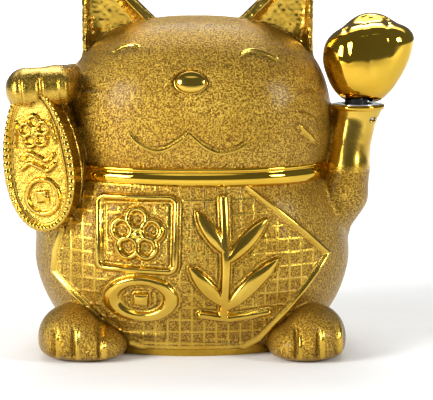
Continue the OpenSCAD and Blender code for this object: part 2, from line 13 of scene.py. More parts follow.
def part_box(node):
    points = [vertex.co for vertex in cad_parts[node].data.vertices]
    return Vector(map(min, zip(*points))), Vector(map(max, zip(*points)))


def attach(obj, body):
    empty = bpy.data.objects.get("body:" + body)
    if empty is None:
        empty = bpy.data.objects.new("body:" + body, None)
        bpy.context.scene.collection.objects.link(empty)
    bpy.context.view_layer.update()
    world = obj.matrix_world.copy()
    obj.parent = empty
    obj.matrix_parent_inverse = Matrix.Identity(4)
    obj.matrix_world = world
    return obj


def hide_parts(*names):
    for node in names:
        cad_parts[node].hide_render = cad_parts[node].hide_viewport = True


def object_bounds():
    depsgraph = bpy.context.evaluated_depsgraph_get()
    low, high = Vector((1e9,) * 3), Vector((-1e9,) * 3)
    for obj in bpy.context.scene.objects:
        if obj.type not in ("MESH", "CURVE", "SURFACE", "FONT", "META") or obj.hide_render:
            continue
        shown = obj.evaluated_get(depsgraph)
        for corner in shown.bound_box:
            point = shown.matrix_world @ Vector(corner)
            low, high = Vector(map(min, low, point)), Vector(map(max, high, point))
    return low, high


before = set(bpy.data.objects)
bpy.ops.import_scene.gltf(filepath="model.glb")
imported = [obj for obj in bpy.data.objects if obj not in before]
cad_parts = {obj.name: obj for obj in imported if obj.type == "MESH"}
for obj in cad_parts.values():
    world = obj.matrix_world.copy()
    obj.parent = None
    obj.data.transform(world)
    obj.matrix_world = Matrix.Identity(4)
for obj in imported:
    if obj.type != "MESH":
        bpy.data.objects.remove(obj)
cad_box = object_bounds()

# Forms are worked out in millimetres and turned into metres when a mesh is made.
MM = 0.001


def node_box(name):
    """A CAD node's lowest and highest corner in millimetres."""
    low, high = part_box(name)
    return np.array(low) / MM, np.array(high) / MM


def node_middle(name):
    low, high = node_box(name)
    return (low + high) / 2


ring_low, ring_high = node_box("pivot_ring")
ring_mid = node_middle("pivot_ring")
# The ring's flange stands this far above the sleeve and reaches this far past its barrel.
RING_FLANGE, RING_LIP = 0.6, 1.05
RIM_Z = ring_high[2] - RING_FLANGE
RIM_R = 8.5
MOUTH_R = (ring_high[0] - ring_low[0]) / 2 - RING_LIP
SLEEVE_X, SLEEVE_Y = ring_mid[0], ring_mid[1]
plate_low, plate_high = node_box("base_plate")
PLATE_RX = (plate_high[0] - plate_low[0]) / 2
PLATE_RY = (plate_high[1] - plate_low[1]) / 2
EAR_TIP_Z = cad_box[1][2] / MM - 0.2
SEAM_Y = node_box("rear_shell")[0][1]
# The moulding starts at SHELL_Z; its floor opening is narrower than the base plate by BASE_RIM.
SHELL_Z = 3.0
WALL, SLEEVE_WALL = 2.0, 1.8
BASE_RIM, BASE_OPENING_Z = 1.6, 6.0
PLATE_PLAY, TABLET_PLAY = 0.25, 0.12

BODY = {"c": (0, 0, 29), "r": (51, 41), "up": 49, "down": 43.2, "q": 2.15, "p_up": 2.0, "p_down": 1.8}
HEAD = {"c": (1.8, 0, 68.5), "r": (43.4, 36), "up": 37, "down": 30, "q": 2.25, "p_up": 2.6, "p_down": 2.3}
NECK_Z = 56.8
# Each foot: middle and radii of its top, its heel and its inner lobe, and x of the slits in it.
FEET = (
    (((-37.8, -29.2, 6.8), (10.4, 14.0, 9.6)), ((-34, -20, 6), (12, 12, 8)),
     ((-30.6, -29.4, 4.6), (10.2, 13.4, 6.2)), (-42.8, -36.6, -28.6)),
    (((38.4, -29.2, 6.8), (9.8, 14.0, 9.6)), ((34.6, -20, 6), (12, 12, 8)),
     ((33.0, -29.4, 4.6), (9.2, 13.4, 7)), (32.0, 38.8, 44.8)),
)
# Balls along the upright forearm: middle, radius and stretch from front to back.
FOREARM = (
    ((43.5, 0, 38), 8.0, 1.3),
    ((47.8, SLEEVE_Y + 1, 49), 8.2, 1.35),
    ((49.8, SLEEVE_Y, 58), 6.7, 1.35),
    ((50.7, SLEEVE_Y, 66), 5.9, 1.25),
    ((52.0, SLEEVE_Y, 70), 5.9, 1.1),
)
# Where the forearm starts to flare into the sleeve, and how late the flare opens.
FLARE_X, FLARE_Z, FLARE_R, FLARE_POWER = 50.3, 62, 5.9, 1.9
TABLET_MIDDLE = np.array([-47.2, -26.4, 62.4])
TABLET_TURN, TABLET_TILT = math.radians(20), math.radians(7.5)
TABLET_HALF_W, TABLET_HALF_H, TABLET_T = 11.6, 23.0, 6.5
TABLET_NARROW = 0.17
# The tray behind the tablet, from its back to its front.
BACKING = (-8.2, -3.0)
# Room in the wall for the pendulum rod at the end of its swing.
ROD_POCKET = ((44.0, -12.3, 46.0), (2.8, 2.4, 3.2))


# ---------------------------------------------------------------- fields

def egg(p, c, r, up, down, q, p_up, p_down):
    """Superellipse in plan with its own profile above and below the middle."""
    d = p - np.array(c, np.float32)
    plan = ((np.abs(d[:, 0]) / r[0]) ** q + (np.abs(d[:, 1]) / r[1]) ** q) ** (1 / q)
    above = d[:, 2] > 0
    e = np.where(above, p_up, p_down).astype(np.float32)
    level = np.abs(d[:, 2]) / np.where(above, up, down)
    f = (plan**e + level**e) ** (1 / e)
    reach = np.sqrt((d * d).sum(1))
    return reach * (1 - 1 / np.maximum(f, 1e-4))


def blob(p, c, r):
    """Ellipsoid."""
    d = p - np.array(c, np.float32)
    r = np.array(r, np.float32)
    k0 = np.sqrt(((d / r) ** 2).sum(1))
    k1 = np.sqrt(((d / r**2) ** 2).sum(1))
    return k0 * (k0 - 1) / np.maximum(k1, 1e-5)


def limb(p, a, b, ra, rb, deep=1.0):
    """Round cone from a to b, stretched front to back by deep."""
    a, b = np.array(a, np.float32), np.array(b, np.float32)
    scale = np.array([1, 1 / deep, 1], np.float32)
    q, a, b = p * scale, a * scale, b * scale
    v = b - a
    t = np.clip(((q - a) @ v) / (v @ v), 0, 1)
    d = q - a - t[:, None] * v
    return np.sqrt((d * d).sum(1)) - (ra + (rb - ra) * t)


def web(p, corners, radii):
    """Rounded sheet over a triangle, with a thickness that runs between its corners."""
    a, b, c = (np.array(v, np.float32) for v in corners)
    ra, rb, rc = radii
    best = None
    for (u, ru), (v, rv) in (((a, ra), (b, rb)), ((b, rb), (c, rc)), ((c, rc), (a, ra))):
        d = limb(p, u, v, ru, rv)
        best = d if best is None else np.minimum(best, d)
    n = np.cross(b - a, c - a)
    n = n / np.sqrt(n @ n)
    h = (p - a) @ n
    flat = p - h[:, None] * n
    area = np.cross(b - a, c - a) @ n
    wb = np.cross(flat - a, c - a) @ n / area
    wc = np.cross(b - a, flat - a) @ n / area
    wa = 1 - wb - wc
    inside = (wa > 0) & (wb > 0) & (wc > 0)
    face = np.abs(h) - (wa * ra + wb * rb + wc * rc)
    return np.where(inside, np.minimum(best, face), best)


def join(a, b, k):
    """Smooth union."""
    h = np.clip(0.5 + 0.5 * (b - a) / k, 0, 1)
    return b + (a - b) * h - k * h * (1 - h)


def cut(a, b, k):
    """Smooth intersection of a with b."""
    return -join(-a, -b, k)


def smooth(x, low, high):
    """Rises smoothly from 0 at low to 1 at high."""
    t = np.clip((x - low) / (high - low), 0, 1)
    return t * t * (3 - 2 * t)


def ear_field(p, side):
    """Ear of the given side (-1 or 1) with a deep scoop in its front."""
    x = HEAD["c"][0]
    outer = (x + side * 31.9, -2, 90)
    inner = (x + side * 13.4, -1, 98)
    tip = (x + side * 35.4, -2, EAR_TIP_Z - 1.8)
    ear = web(p, (outer, inner, tip), (5.4, 5.0, 1.8))
    scoop = web(
        p,
        (
            (x + side * 29.4, -7.6, 95),
            (x + side * 20.6, -7.8, 100.4),
            (x + side * 34.2, -4.8, EAR_TIP_Z - 5.6),
        ),
        (6.9, 6.0, 1.6),
    )
    return cut(ear, -scoop, 0.5)


def foot_field(p, foot):
    """Mitten on a flat sole: its lower half stands fuller than its upper half."""
    f = None
    for c, r in foot[:3]:
        part = egg(p, c, r[:2], r[2], c[2], 2.1, 2.0, 3.4)
        f = part if f is None else join(f, part, 3.0)
    return cut(f, 0.25 - p[:, 2], 0.8)


def sleeve_field(p, d=0.0):
    """Upright forearm that flares into the paw's sleeve, drawn in by d for its inside."""
    f = None
    for (a, ra, ka), (b, rb, kb) in zip(FOREARM, FOREARM[1:]):
        part = limb(p, a, b, ra - d, rb - d, (ka + kb) / 2)
        f = part if f is None else join(f, part, 4.0)
    t = np.clip((p[:, 2] - FLARE_Z) / (RIM_Z - FLARE_Z), 0, 1)
    cx = FLARE_X + (SLEEVE_X - FLARE_X) * smooth(t, 0, 1)
    radius = FLARE_R - d + (RIM_R - FLARE_R) * t**FLARE_POWER
    flare = np.sqrt((p[:, 0] - cx) ** 2 + (p[:, 1] - SLEEVE_Y) ** 2) - radius
    flare = cut(flare, FLARE_Z - p[:, 2], 0.5)
    f = join(f, flare, 2.0)
    return cut(f, p[:, 2] - RIM_Z, 0.5) if d == 0 else f


def raised_arm_field(p):
    """Arm, wrist and fist that hold the tablet."""
    arm = limb(p, (-42, -3, 42), (-44.5, -8, 62), 10, 7.8, 1.25)
    arm = join(arm, limb(p, (-44.5, -8, 62), (-45.5, -12, 79), 7.8, 7.2, 1.15), 2.5)
    arm = join(arm, limb(p, (-45.5, -12, 79), (-44.0, -18, 83.4), 7.0, 6.2, 1.1), 2.5)
    fist = limb(p, (-51.7, -22.6, 83.5), (-42.5, -23.4, 84.3), 6.9, 6.4, 1.25)
    wrist = limb(p, (-42.0, -19.0, 84.5), (-35.5, -6.0, 84.0), 6.3, 6.6, 1.1)
    return join(arm, join(fist, wrist, 2.5), 1.5)


def tablet_local(p):
    """Tablet coordinates: across, out of the face, and up along the tablet."""
    d = p - TABLET_MIDDLE.astype(np.float32)
    c, s = math.cos(TABLET_TURN), math.sin(TABLET_TURN)
    across = d[:, 0] * c - d[:, 1] * s
    out = -(d[:, 0] * s + d[:, 1] * c)
    c, s = math.cos(TABLET_TILT), math.sin(TABLET_TILT)
    return across * c + d[:, 2] * s, out, d[:, 2] * c - across * s


def tablet_outline(u, v):
    """Signed distance from the edge of the tablet's oval, which narrows upwards, negative inside."""
    w = TABLET_HALF_W * (1 - TABLET_NARROW * np.clip(v / TABLET_HALF_H, -1.2, 1.2))
    f = np.hypot(u / w, v / TABLET_HALF_H)
    reach = np.sqrt(u * u + v * v)
    return np.where(f > 1e-3, reach * (1 - 1 / np.maximum(f, 1e-3)) * 0.93, -TABLET_HALF_W)


def tablet_field(p, grow=0.0):
    """Tablet, grown by the play round it when it is cut out of the moulding."""
    u, w, v = tablet_local(p)
    side = tablet_outline(u, v) - grow
    return cut(side, np.abs(w) - TABLET_T / 2 - grow, 0.5)


def backing_field(p):
    """Tray behind the tablet, part of the moulding."""
    u, w, v = tablet_local(p)
    side = tablet_outline(u, v)
    return cut(side, np.maximum(w - BACKING[1], BACKING[0] - w), 0.5)


def cat_field(p):
    """Outside of the whole moulding."""
    x, z = p[:, 0], p[:, 2]
    f = cut(egg(p, **BODY), SHELL_Z - z, 0.5)
    f = join(f, egg(p, **HEAD), 1.6)
    f = join(f, sleeve_field(p), 1.2)
    f = join(f, raised_arm_field(p), 1.2)
    parts = [(foot_field, foot, z < 32, 1.2) for foot in FEET]
    parts += [(ear_field, side, (z > 80) & (x * side > -2), 0.8) for side in (-1, 1)]
    for field, which, near, k in parts:
        if near.any():
            part = np.full(len(p), 50, np.float32)
            part[near] = field(p[near], which)
            f = np.where(near, join(f, part, k), f)
    return join(f, backing_field(p), 0.5)


def plate_field(p, grow, top):
    """Oval prism of the base plate's outline, grown sideways, that ends at the given height."""
    oval = np.sqrt((p[:, 0] / (PLATE_RX + grow)) ** 2 + (p[:, 1] / (PLATE_RY + grow)) ** 2) - 1
    return np.maximum(oval * PLATE_RY, p[:, 2] - top)


def drawn_in(form):
    """The inside of an egg-shaped form, one wall smaller all round."""
    radii = [v - WALL for v in form["r"]]
    return {**form, "r": radii, "up": form["up"] - WALL, "down": form["down"] - WALL}


def hollow_field(p):
    """The space inside the shells, open at the base and at the sleeve's mouth."""
    f = join(egg(p, **drawn_in(BODY)), egg(p, **drawn_in(HEAD)), 1.6)
    f = join(f, sleeve_field(p, SLEEVE_WALL), 1.2)
    f = join(f, blob(p, *ROD_POCKET), 0.5)
    mouth = np.sqrt((p[:, 0] - SLEEVE_X) ** 2 + (p[:, 1] - SLEEVE_Y) ** 2) - MOUTH_R
    f = np.minimum(f, np.maximum(mouth, ring_low[2] - 0.5 - p[:, 2]))
    return np.minimum(f, plate_field(p, -BASE_RIM, BASE_OPENING_Z))


def shell_field(p):
    """Wall of the moulding, with room for the base plate and the tablet."""
    f = cut(cat_field(p), -hollow_field(p), 0.3)
    f = np.maximum(f, -plate_field(p, PLATE_PLAY, SHELL_Z))
    return np.maximum(f, -tablet_field(p, TABLET_PLAY))


# ---------------------------------------------------------------- meshing

def mesh_field(field, low, high, voxel):
    """Quads on the field's zero surface."""
    axes = [np.arange(l, h + voxel, voxel, dtype=np.float32) for l, h in zip(low, high)]
    grid = np.stack(np.meshgrid(*axes, indexing="ij"), -1).reshape(-1, 3)
    values = field(grid).reshape([len(a) for a in axes])
    vdb = openvdb.FloatGrid(3 * voxel)
    vdb.copyFromArray(np.ascontiguousarray(np.clip(values, -3 * voxel, 3 * voxel)))
    points, quads = vdb.convertToQuads(0.0)
    points = points * voxel + np.array([a[0] for a in axes])
    a, b, c = points[quads[:, 0]], points[quads[:, 1]], points[quads[:, 2]]
    d = points[quads[:, 3]]
    volume = (np.einsum("ij,ij->i", a, np.cross(b, c)) + np.einsum("ij,ij->i", a, np.cross(c, d))).sum()
    if volume < 0:
        quads = quads[:, ::-1]
    return points.astype(np.float32), [quads.astype(np.int64), []]


def refine(points, faces, chosen):
    """Splits the chosen quads in four; their other neighbours take the new points on shared edges."""
    quads, ngons = faces
    ends = np.stack([quads, np.roll(quads, -1, 1)], -1)
    ends.sort(-1)
    key = ends[..., 0] * len(points) + ends[..., 1]
    split = np.unique(key[chosen])
    first = len(points)
    mids = (points[split // len(points)] + points[split % len(points)]) / 2
    centres = points[quads[chosen]].mean(1)
    total = len(points)
    index = np.searchsorted(split, key)
    index = np.minimum(index, len(split) - 1)
    has = split[index] == key
    mid_id = np.where(has, first + index, -1)
    centre_id = first + len(split) + np.arange(len(centres))
    q, m = quads[chosen], mid_id[chosen]
    new = [
        np.stack([q[:, i], m[:, i], centre_id, m[:, (i + 3) % 4]], 1)
        for i in range(4)
    ]
    keep = ~chosen & ~has.any(1)
    border = np.nonzero(~chosen & has.any(1))[0]
    grown = []
    for f in border:
        poly = []
        for i in range(4):
            poly.append(int(quads[f, i]))
            if mid_id[f, i] >= 0:
                poly.append(int(mid_id[f, i]))
        grown.append(poly)
    for poly in ngons:
        out = []
        for i, a in enumerate(poly):
            b = poly[(i + 1) % len(poly)]
            out.append(a)
            k = min(a, b) * total + max(a, b)
            j = np.searchsorted(split, k)
            if j < len(split) and split[j] == k:
                out.append(int(first + j))
        grown.append(out)
    points = np.concatenate([points, mids, centres]).astype(np.float32)
    return points, [np.concatenate([quads[keep]] + new), grown]


def gradient(field, p, h=0.05):
    """Value, unit normal and steepness of a field, from four samples around each point."""
    steps = np.array([[1, -1, -1], [-1, -1, 1], [-1, 1, -1], [1, 1, 1]], np.float32)
    total = np.zeros_like(p)
    value = np.zeros(len(p), np.float32)
    for s in steps:
        f = field(p + h * s)
        total += f[:, None] * s
        value += f / 4
    slope = total / (4 * h)
    size = np.sqrt((slope * slope).sum(1))
    return value, slope / np.maximum(size, 1e-6)[:, None], size


def settle(points, field, rounds=2, limit=0.6):
    """Moves points onto the field's zero surface."""
    for _ in range(rounds):
        value, normal, size = gradient(field, points)
        move = np.clip(value / np.maximum(size, 0.2), -limit, limit)
        points = points - move[:, None] * normal
    return points


def face_middles(points, quads):
    return points[quads].mean(1)


def link_mesh(name, mesh):
    obj = bpy.data.objects.new(name, mesh)
    bpy.context.scene.collection.objects.link(obj)
    return obj


def make_object(name, points, faces):
    quads, ngons = faces
    polys = quads.tolist() + ngons
    mesh = bpy.data.meshes.new(name)
    mesh.from_pydata((points * MM).tolist(), [], polys)
    mesh.update()
    mesh.shade_smooth()
    return link_mesh(name, mesh)


# ---------------------------------------------------------------- relief
# Shapes seen from the front, in x and z (or the tablet's own u and v), with heights along the normal.

def curve_points(pts, steps=8):
    """Smooth curve through given points."""
    pts = [np.array(p, float) for p in pts]
    out = []
    for i in range(len(pts) - 1):
        a = pts[max(i - 1, 0)]
        b, c = pts[i], pts[i + 1]
        d = pts[min(i + 2, len(pts) - 1)]
        for k in range(steps):
            t = k / steps
            out.append(
                0.5 * (2 * b + (c - a) * t + (2 * a - 5 * b + 4 * c - d) * t**2
                       + (3 * b - a - 3 * c + d) * t**3)
            )
    out.append(pts[-1])
    return np.array(out)


def near_line(x, z, pts):
    """Distance to a line of points."""
    best = np.full(len(x), 1e3, np.float32)
    for a, b in zip(pts, pts[1:]):
        v = b - a
        t = np.clip(((x - a[0]) * v[0] + (z - a[1]) * v[1]) / max(v @ v, 1e-9), 0, 1)
        best = np.minimum(best, np.hypot(x - a[0] - t * v[0], z - a[1] - t * v[1]))
    return best


def along(x, z, pts, fade):
    """Signed distance above a line that runs left to right, and a weight that fades at its ends."""
    pts = curve_points(pts)
    slope = np.gradient(pts[:, 1], pts[:, 0])
    level = np.interp(x, pts[:, 0], pts[:, 1])
    tilt = np.interp(x, pts[:, 0], slope)
    s = (z - level) / np.sqrt(1 + tilt**2)
    start, end = pts[0, 0], pts[-1, 0]
    weight = smooth(x, start - 0.2, start + fade) * smooth(-x, -end - 0.2, -end + fade)
    return s, weight


def bell(s, middle, width):
    """Round bump of height 1."""
    return np.exp(-(((s - middle) / width) ** 2))


def outline(x, z, corners):
    """Signed distance to a closed outline, negative inside."""
    pts = np.array(corners, float)
    ring = np.concatenate([pts, pts[:1]])
    d = near_line(x, z, ring)
    inside = np.zeros(len(x), bool)
    for a, b in zip(ring, ring[1:]):
        crosses = (a[1] > z) != (b[1] > z)
        at = a[0] + (z - a[1]) * (b[0] - a[0]) / (b[1] - a[1] + 1e-12)
        inside ^= crosses & (x < at)
    return np.where(inside, -d, d)


def ring_shape(x, z, c, rx, rz, half):
    """Signed distance to a ring-shaped stroke."""
    r = np.hypot((x - c[0]) / rx, (z - c[1]) / rz)
    return np.abs(r - 1) * min(rx, rz) - half


def disc_shape(x, z, c, r):
    return np.hypot(x - c[0], z - c[1]) - r


def leaf_shape(x, z, a, b, half):
    """Pointed leaf from a to b."""
    a, b = np.array(a, float), np.array(b, float)
    v = b - a
    length = np.hypot(*v)
    u = v / length
    t = ((x - a[0]) * u[0] + (z - a[1]) * u[1]) / length
    s = (x - a[0]) * -u[1] + (z - a[1]) * u[0]
    over = np.maximum(np.maximum(-t, t - 1), 0) * length
    wide = half * np.clip(4 * t * (1 - t), 0, 1) ** 0.75
    return np.hypot(s, over) - wide


def stroke_shape(x, z, pts, half):
    return near_line(x, z, np.array(pts, float)) - half


def blossom(x, z, c, r, half):
    """Five round petals round a middle disc."""
    best = disc_shape(x, z, c, r * 0.3)
    for i in range(5):
        a = math.pi / 2 + 2 * math.pi * i / 5
        petal = (c[0] + r * math.cos(a), c[1] + r * math.sin(a))
        best = np.minimum(best, ring_shape(x, z, petal, r * 0.62, r * 0.62, half))
    return best


APRON = [
    (-44.6, 25.6), (-32.4, 14.0), (-22.6, 4.6), (-14.0, 1.4), (15.4, 1.4), (21.6, 5.0), (30.6, 14.8),
    (37.2, 23.0), (43.8, 32.1), (35.8, 40.2), (27.6, 46.9), (17.7, 55.0), (12, 62), (-34, 62),
    (-42.0, 40.0), (-43.8, 33),
]
GRID_X, GRID_Z = 3.75, 4.1
HEM_Z = 4.4


def apron_motifs(x, z):
    """Signed distance to the raised ornaments: a framed blossom, a pierced coin and a leafy sprig."""
    frame_edge = outline(x, z, [(-26.2, 31.6), (-7.4, 31.0), (-7.0, 48.6), (-26.4, 48.4)]) - 2.2
    shapes = [
        blossom(x, z, (-16.7, 39.7), 4.7, 0.85),
        np.abs(frame_edge) - 0.95,
        ring_shape(x, z, (-15.6, 20.0), 9.2, 5.9, 1.35),
        outline(x, z, [(-17.4, 18.7), (-13.8, 18.7), (-13.8, 21.3), (-17.4, 21.3)]) - 0.5,
        stroke_shape(x, z, [(9.8, 15.6), (10.4, 30), (9.6, 50.5)], 1.35),
        leaf_shape(x, z, (9.8, 16.5), (26.4, 32.5), 2.5),
        leaf_shape(x, z, (9.8, 18.0), (-1.0, 30.5), 2.3),
        leaf_shape(x, z, (10.2, 31.0), (23.0, 44.6), 2.3),
        leaf_shape(x, z, (10.2, 34.0), (1.2, 47.0), 2.1),
        stroke_shape(x, z, [(2.6, 15.2), (11.5, 13.8), (23.4, 15.2)], 1.0),
    ]
    return np.minimum.reduce(shapes)


def apron_relief(x, z):
    """Rolled edge, lattice and ornaments of the apron, and their polish."""
    edge = -outline(x, z, APRON)
    inner = smooth(edge, 2.6, 3.3) * smooth(z, HEM_Z - 0.4, HEM_Z + 0.4)
    h = 0.5 * smooth(edge, -0.1, 0.5) + 0.85 * bell(edge, 1.05, 0.72) - 0.45 * bell(edge, 2.15, 0.38)
    h += 0.3 * bell(edge, 2.95, 0.4)
    motif = apron_motifs(x, z)
    clear = smooth(motif, 0.9, 1.5) * inner
    gx = np.abs((x / GRID_X + 0.5) % 1 - 0.5) * GRID_X
    gz = np.abs(((z - 1.0) / GRID_Z + 0.5) % 1 - 0.5) * GRID_Z
    line = np.maximum(bell(gx, 0, 0.3), bell(gz, 0, 0.3))
    h += 0.45 * line * clear
    raised = 0.5 * smooth(-motif, -0.45, 0.5) + 0.5 * np.sqrt(np.clip((0.2 - motif) / 2.0, 0, 1))
    h += inner * (1.8 * raised - 0.32 * bell(motif, 0.75, 0.32))
    for x0, x1, level in ((-25, -9, 8.0), (4.4, 13.6, 6.0)):
        dash = stroke_shape(x, z, [(x0, level + 0.3), (x1, level - 0.1)], 0.7)
        h += 0.6 * smooth(-dash, -0.4, 0.4)
    h += 0.25 * bell(z, HEM_Z, 0.4) * smooth(edge, 2.5, 3.2)
    polish = np.maximum(0.8 * bell(edge, 1.05, 0.9), inner * 0.72 * smooth(-motif, -0.8, 0.0))
    polish = np.maximum(polish, 0.6 * line * clear)
    polish = np.maximum(polish, 0.5 * smooth(-z, -HEM_Z, -HEM_Z + 1.0) * smooth(edge, 0, 1))
    return h, np.clip(polish + 0.06 * smooth(edge, 0, 1), 0, 1)


MOUTH = [
    (-20.6, 72.2), (-16.9, 68.5), (-13.6, 66.5), (-10.3, 65.9), (-7.0, 67.0), (-3.6, 69.2), (-1.0, 71.2),
    (1.2, 69.6), (4.4, 67.0), (8.1, 65.4), (12.0, 65.7), (15.4, 67.1), (18.4, 69.8),
]
EYE_LEFT = [(-26.2, 94.0), (-22.6, 96.4), (-18.6, 97.5), (-14.8, 96.4)]
EYE_RIGHT = [(13.7, 93.2), (15.8, 95.4), (18.8, 96.1), (22.4, 95.3), (28.1, 92.6)]
NOSE = (-0.3, 86.6)


def face_relief(x, z):
    """Mouth, closed eyes, nose and cheek marks, and their polish."""
    h = np.zeros(len(x))
    polish = np.zeros(len(x))
    s, w = along(x, z, MOUTH, 3.0)
    h += w * (-0.55 * bell(s, 0.45, 0.42) + 0.5 * bell(s, -0.5, 0.45))
    polish = np.maximum(polish, 0.8 * w * bell(s, -0.4, 0.55))
    for eye in (EYE_LEFT, EYE_RIGHT):
        s, w = along(x, z, eye, 2.2)
        h += w * (0.5 * bell(s, 0, 0.36) - 0.25 * bell(s, -0.95, 0.6))
        polish = np.maximum(polish, 0.9 * w * bell(s, 0, 0.5))
    r = np.hypot((x - NOSE[0]) / 4.9, (z - NOSE[1]) / 3.4)
    moat = bell(r, 1.08, 0.11) * (0.35 + 0.65 * smooth(z - NOSE[1] - 0.4 * (x - NOSE[0]), -2.5, 2.0))
    h += 1.9 * np.sqrt(np.clip(1 - r**2, 0, 1)) - 0.75 * moat
    polish = np.maximum(polish, smooth(-r, -1.16, -1.0))
    for side in (-1, 1):
        u = (x - HEAD["c"][0]) * side
        s, w = along(u, z, [(29.5, 83.4), (33.0, 83.9), (38.0, 83.2)], 2.5)
        h += w * (-0.6 * bell(s, 0, 0.8) + 0.35 * bell(s, -1.7, 1.1))
        s, w = along(u, z, [(30.5, 77.4), (34.0, 76.6), (38.5, 74.2)], 2.5)
        h += w * (-0.35 * bell(s, 0, 0.6) + 0.2 * bell(s, -1.2, 0.9))
    leaf = leaf_shape(x - HEAD["c"][0], z, (31.6, 72.8), (37.3, 66.2), 0.7)
    h += 0.75 * smooth(-leaf, -0.25, 0.5) - 0.4 * bell(leaf, 0.75, 0.5)
    return h, np.maximum(polish, 0.8 * smooth(-leaf, -0.3, 0.2))


def foot_relief(x, z):
    """Slits between the toes, each with a fine ridge beside it."""
    h = np.zeros(len(x))
    polish = np.zeros(len(x))
    tall = smooth(z, 0.8, 2.6) * smooth(-z, -12.4, -9.0)
    for foot in FEET:
        for at in foot[3]:
            h += tall * (0.4 * bell(x, at + 1.35, 0.6) - 1.25 * bell(x, at, 0.62))
            polish = np.maximum(polish, 0.75 * tall * bell(x, at + 1.35, 0.8))
    return h, polish


def fist_relief(x, z):
    """Shallow folds between the toes of the paw that holds the tablet."""
    h = np.zeros(len(x))
    leaning = x + 0.1 * (z - 84)
    for at, depth in ((-53.6, 0.6), (-47.2, 1.0), (-40.6, 0.4)):
        h -= depth * bell(leaning, at, 0.75)
        h += 0.3 * bell(leaning, at + 1.4, 0.6)
    return h * smooth(-z, -90, -86)


LATTICE_SEED, LATTICE_SIZE = 7, 32
LATTICE = np.random.default_rng(LATTICE_SEED).random((LATTICE_SIZE,) * 3).astype(np.float32)


def lumps(p, size):
    """Smooth random heights between -1 and 1, with lumps of the given size."""
    q = p / size + 1000.0
    cell = np.floor(q).astype(int)
    t = q - cell
    t = t * t * (3 - 2 * t)
    total = np.zeros(len(p), np.float32)
    for corner in np.ndindex(2, 2, 2):
        i, j, k = ((cell + corner) % LATTICE_SIZE).T
        weight = np.prod(np.where(np.array(corner) == 1, t, 1 - t), axis=1)
        total += LATTICE[i, j, k] * weight
    return 2 * total - 1


def moulding_relief(p, n):
    """Height above the plain moulding, and how polished the metal is there."""
    x, y, z = p[:, 0], p[:, 1], p[:, 2]
    h = np.zeros(len(p))
    polish = np.zeros(len(p))
    off_head = egg(p, **HEAD)
    off_body = egg(p, **BODY)
    front = (n[:, 1] < -0.15) & (y < -12)
    belly = front & (z < NECK_Z + 2) & (z > 0.5) & (np.abs(x) < 47) & (off_body < 0.6)
    h[belly], polish[belly] = apron_relief(x[belly], z[belly])
    face = front & (z > 60) & (z < 101) & (off_head < 0.8)
    h[face], polish[face] = face_relief(x[face], z[face])
    toes = front & (z < 14) & (off_body > 0.8) & (np.abs(x) > 18)
    h[toes], polish[toes] = foot_relief(x[toes], z[toes])
    outside = cat_field(p) > -0.5
    fist = outside & (x < -34) & (z > 75) & (y < -14) & (off_head > 0.8)
    h[fist] += fist_relief(x[fist], z[fist])
    # Glossier places: the hammered insides of the ears, the sleeve's neck, the raised arm and the fist.
    ears = outside & (z > 93) & (off_head > 0.5) & (n[:, 1] < -0.1)
    h[ears] += 0.1 * lumps(p[ears], 1.4) + 0.05 * lumps(p[ears], 0.8)
    polish[ears] = 0.75
    raised = smooth(off_head, 0.3, 1.5)
    sleeve = (x > 42) & (z > 56)
    polish = np.maximum(polish, np.where(sleeve, 0.6 * smooth(z, 52, 60) * raised, 0))
    arm = (x < -34) & (y < -6) & (z > 34) & (off_body > 0.6)
    polish = np.maximum(polish, np.where(arm, 0.45 * raised, 0))
    h += np.where(outside, 0.07 * lumps(p, 4.5), 0)
    return h, polish


def tablet_relief(p, _):
    """Beaded rim, an inner ridge and small ornaments on the tablet's face."""
    u, w, v = tablet_local(p)
    edge = -tablet_outline(u, v)
    front = w > TABLET_T / 2 - 1.2
    around = np.arctan2(v / TABLET_HALF_H, u / TABLET_HALF_W)
    beads = np.abs(np.sin(around * 29))
    h = 0.7 * bell(edge, 0.9, 0.8) * (0.25 + 0.85 * beads)
    h += 0.5 * bell(edge, 2.75, 0.42) - 0.8 * smooth(edge, 1.7, 2.1)
    wave = curve_points([(-5.6, 0.4), (-2.8, 1.9), (0, 0.6), (2.8, -0.8), (5.6, 0.8)], 5)
    shapes = [
        blossom(u, v, (0.2, 8.4), 3.1, 0.62),
        stroke_shape(u, v, wave, 0.7),
        stroke_shape(u, v, wave - (0, 3.2), 0.7),
        ring_shape(u, v, (0.2, -12.0), 5.4, 5.4, 0.75),
        outline(u, v, [(-1.4, -13.4), (1.8, -13.4), (1.8, -10.4), (-1.4, -10.4)]) - 0.3,
        stroke_shape(u, v, [(-5.8, 12.0), (-6.9, 4.6)], 0.5),
        stroke_shape(u, v, [(5.8, 12.0), (6.9, 4.6)], 0.5),
    ]
    best = np.minimum.reduce(shapes)
    h += np.where(edge > 3.0, 1.15 * smooth(-best, -0.4, 0.45) + 0.09 * lumps(p, 0.9), 0)
    polish = np.where((edge > 3.2) & (best > 0.3), 0.4, 0.7)
    return np.where(front, h, 0.04 * lumps(p, 1.2)), np.where(front, polish, 0.55)


# ---------------------------------------------------------------- pieces

def add_polish(obj, values):
    """Stores how polished each point is, for the frosted finish."""
    data = obj.data.attributes.new("polish", "FLOAT", "POINT")
    data.data.foreach_set("value", np.asarray(values, np.float32))


def relief_mesh(name, points, faces, field, relief):
    """Settles the points on the field, raises the relief along the normals and stores the polish."""
    points = settle(points, field)
    _, normal, _ = gradient(field, points)
    h, polish = relief(points, normal)
    obj = make_object(name, points + h[:, None] * normal, faces)
    add_polish(obj, polish)
    return obj


# First mesh size of each skin, before it is refined.
VOXEL, PAW_VOXEL, TABLET_VOXEL = 1.0, 0.75, 0.9


